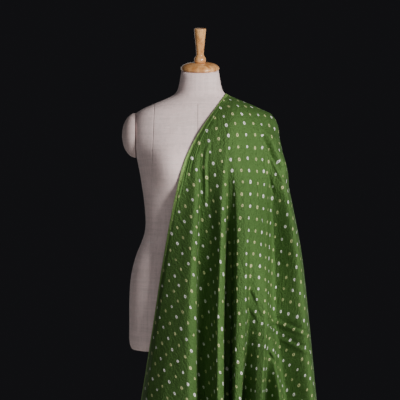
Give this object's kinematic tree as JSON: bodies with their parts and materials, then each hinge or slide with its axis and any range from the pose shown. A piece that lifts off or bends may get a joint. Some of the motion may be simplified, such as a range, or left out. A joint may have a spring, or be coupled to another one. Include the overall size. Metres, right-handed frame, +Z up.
{
  "type": "bandhani cloth draped on a dress form",
  "caption": "Tie-dyed cloth hung over one shoulder of a linen dress form, falling in upright folds in front and behind, on a turned wooden stand.",
  "frame": {"origin": "on the floor, at the middle of the underside of the stand's round foot", "axes": "+Z up along the pole, -Y the way the form faces, +X the side of the shoulder that carries the cloth"},
  "size_m": [0.496, 0.5331, 1.6236],
  "materials": {
    "cloth_green": "soft satin weave with tied white and pale dots",
    "linen": "fine matte weave",
    "wood": "varnished, turned"
  },
  "bodies": {
    "root": {"cloth": "cloth_green", "torso": "linen", "arm_cap_bare": "linen", "arm_cap_under_cloth": "linen", "neck_cap": "wood", "neck_handle": "wood", "stand_flange": "wood", "stand_pole": "wood", "stand_foot": "wood"}
  },
  "joints": []
}
